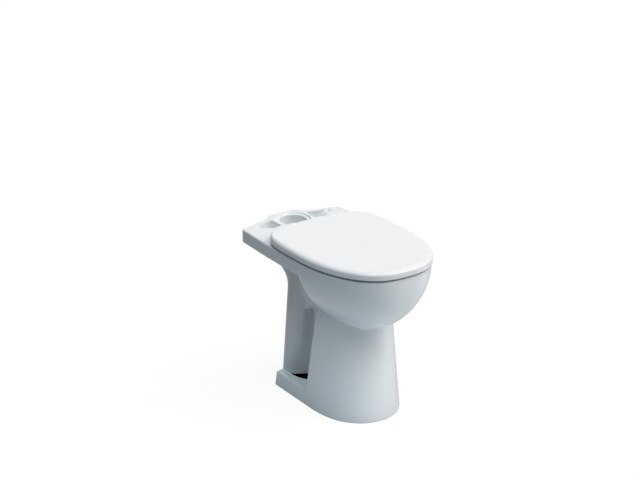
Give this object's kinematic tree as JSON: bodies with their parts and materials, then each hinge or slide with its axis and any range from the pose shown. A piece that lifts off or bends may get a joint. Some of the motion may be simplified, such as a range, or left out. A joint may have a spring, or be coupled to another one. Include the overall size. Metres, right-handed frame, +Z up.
{
  "type": "accessible toilet",
  "caption": "Raised-height floor-standing toilet pan with open pedestal, rear outlet leg, cistern deck, hinged seat and wrap-over lid.",
  "frame": {"origin": "centre of the whole object's plan, on the floor under the pan", "axes": "+Z up, +Y towards the cistern deck at the back, -Y towards the front of the bowl, +X to the right seen from the front"},
  "size_m": [0.356, 0.604, 0.4839],
  "materials": {
    "china": "glossy white glaze",
    "seat": "glossy white moulded plastic",
    "lid": "glossy white moulded plastic",
    "hinge_post": "white enamelled metal",
    "steel": "bright turned steel",
    "black_rubber": "matt black rubber",
    "buffer": "matt pale grey rubber",
    "nylon": "plain off-white nylon",
    "brass": "turned brass"
  },
  "bodies": {
    "root": {"pan": "china", "hinge_post_left": "hinge_post", "hinge_washer_left": "black_rubber", "hinge_stud_left": "steel", "expansion_bush_left": "black_rubber", "bush_nut_left": "brass", "hinge_pin_left": "steel", "hinge_post_right": "hinge_post", "hinge_washer_right": "black_rubber", "hinge_stud_right": "steel", "expansion_bush_right": "black_rubber", "bush_nut_right": "brass", "hinge_pin_right": "steel"},
    "seat": {"seat_ring": "seat", "seat_hinge_bush_left": "nylon", "seat_buffer_front_left": "buffer", "seat_buffer_rear_left": "buffer", "seat_hinge_bush_right": "nylon", "seat_buffer_front_right": "buffer", "seat_buffer_rear_right": "buffer"},
    "lid": {"lid": "lid", "lid_hinge_bush_left": "nylon", "lid_buffer_left": "buffer", "lid_hinge_bush_right": "nylon", "lid_buffer_right": "buffer"}
  },
  "joints": [
    {"name": "seat_hinge", "type": "hinge", "parent": "root", "child": "seat", "pos_m": [0, 0.1416, 0.4738], "axis": [-1, 0, 0], "range_deg": [0, 91]},
    {"name": "lid_hinge", "type": "hinge", "parent": "seat", "child": "lid", "pos_m": [0, 0.1416, 0.4738], "axis": [-1, 0, 0], "range_deg": [0, 91]}
  ]
}
